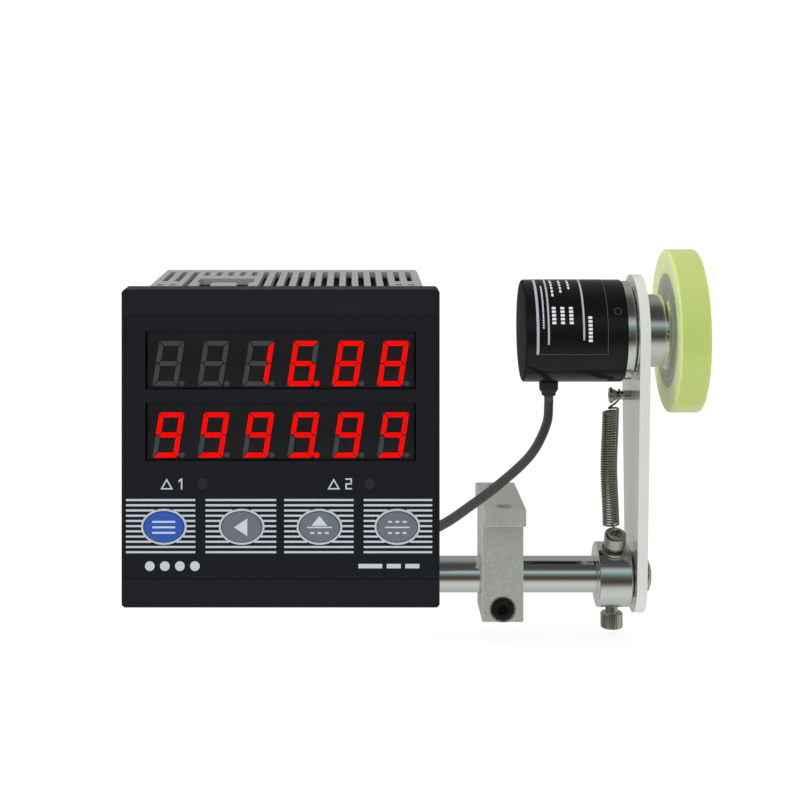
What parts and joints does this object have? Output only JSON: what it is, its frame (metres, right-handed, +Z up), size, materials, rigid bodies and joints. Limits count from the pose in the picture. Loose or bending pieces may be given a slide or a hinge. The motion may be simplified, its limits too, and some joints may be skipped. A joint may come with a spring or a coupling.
{
  "type": "length measuring wheel with counter",
  "caption": "Rotary encoder with a polyurethane measuring wheel on a sprung swing arm and clamped rod, wired to a square panel counter with a two-row display and keys.",
  "frame": {"origin": "centre of the clamp block's mounting face", "axes": "+X along the support rod towards the wheel, +Y from the counter's front towards its rear, +Z up and out of the mounting face"},
  "size_m": [0.1877, 0.3092, 0.1632],
  "materials": {
    "cast_aluminium": "blasted, fine grain",
    "brushed_aluminium": "satin, brushed",
    "polished_steel": "polished",
    "nickel": "nickel plated",
    "black_steel": "black oxide",
    "bronze": "sintered bronze",
    "black_enamel": "smooth black",
    "black_rubber": "satin black",
    "polyurethane": "translucent yellow green",
    "charcoal_plastic": "fine grained charcoal",
    "grey_plastic": "fine grained grey",
    "film": "printed film",
    "dark_acrylic": "tinted filter",
    "led_module": "grey face, clear segments",
    "lamp": "tinted lamp",
    "blue_key": "blue key cap",
    "grey_key": "grey key cap",
    "circuit_board": "solder mask",
    "glass_disc": "etched disc",
    "winding": "taped winding",
    "relay_blue": "relay case",
    "terminal_green": "terminal moulding"
  },
  "bodies": {
    "frame": {"support_rod": "polished_steel", "pivot_collar": "polished_steel", "collar_tension_screw": "nickel", "tension_washer": "nickel", "collar_lock_screw": "nickel", "pivot_washer": "nickel", "pivot_bolt": "nickel", "tension_spring": "nickel", "encoder_cable": "black_rubber", "counter_bezel": "charcoal_plastic", "counter_housing": "grey_plastic", "front_film": "film", "display_filter": "dark_acrylic", "led_display_upper": "led_module", "led_display_lower": "led_module", "display_board": "circuit_board", "tact_switch_1": "black_steel", "tact_switch_2": "black_steel", "tact_switch_3": "black_steel", "tact_switch_4": "black_steel", "alarm_lamp_1": "lamp", "alarm_lamp_2": "lamp", "main_board": "circuit_board", "power_board": "circuit_board", "transformer": "winding", "relay_1": "relay_blue", "relay_2": "relay_blue", "terminal_block": "terminal_green"},
    "clamp": {"clamp_block": "cast_aluminium", "clamp_screw": "black_steel"},
    "swing_arm": {"arm_plate": "brushed_aluminium", "arm_bush": "bronze", "spring_post": "nickel", "encoder_cover": "black_enamel", "encoder_flange": "brushed_aluminium", "encoder_board": "circuit_board", "optical_sensor": "charcoal_plastic", "bearing_front": "polished_steel", "bearing_rear": "polished_steel", "cable_boot": "black_rubber", "cover_screw_1": "black_steel", "cover_screw_2": "black_steel", "cover_screw_3": "black_steel", "encoder_mount_screw_1": "nickel", "encoder_mount_screw_2": "nickel", "encoder_mount_screw_3": "nickel"},
    "measuring_wheel": {"encoder_shaft": "polished_steel", "code_disc": "glass_disc", "wheel_hub": "brushed_aluminium", "wheel_tyre": "polyurethane", "wheel_set_screw_1": "black_steel", "wheel_set_screw_2": "black_steel"},
    "set_key": {"key_set": "blue_key"},
    "shift_key": {"key_shift": "grey_key"},
    "up_key": {"key_up": "grey_key"},
    "reset_key": {"key_reset": "grey_key"}
  },
  "joints": [
    {"name": "arm_swing", "type": "hinge", "parent": "frame", "child": "swing_arm", "pos_m": [0.0516, 0, -0.031], "axis": [1, 0, 0], "range_deg": [-40, 40], "stiffness_Nm_per_rad": 0.8, "deforming": ["tension_spring", "encoder_cable"]},
    {"name": "wheel_spin", "type": "hinge", "parent": "swing_arm", "child": "measuring_wheel", "pos_m": [0.0654, 0, 0.065], "axis": [1, 0, 0], "continuous": true},
    {"name": "clamp_slide", "type": "slide", "parent": "frame", "child": "clamp", "axis": [1, 0, 0], "range_m": [-0.04, 0.022]},
    {"name": "set_key_press", "type": "slide", "parent": "frame", "child": "set_key", "axis": [0, 1, 0], "range_m": [0, 0.0005], "stiffness_N_per_m": 40},
    {"name": "shift_key_press", "type": "slide", "parent": "frame", "child": "shift_key", "axis": [0, 1, 0], "range_m": [0, 0.0005], "stiffness_N_per_m": 40},
    {"name": "up_key_press", "type": "slide", "parent": "frame", "child": "up_key", "axis": [0, 1, 0], "range_m": [0, 0.0005], "stiffness_N_per_m": 40},
    {"name": "reset_key_press", "type": "slide", "parent": "frame", "child": "reset_key", "axis": [0, 1, 0], "range_m": [0, 0.0005], "stiffness_N_per_m": 40}
  ]
}
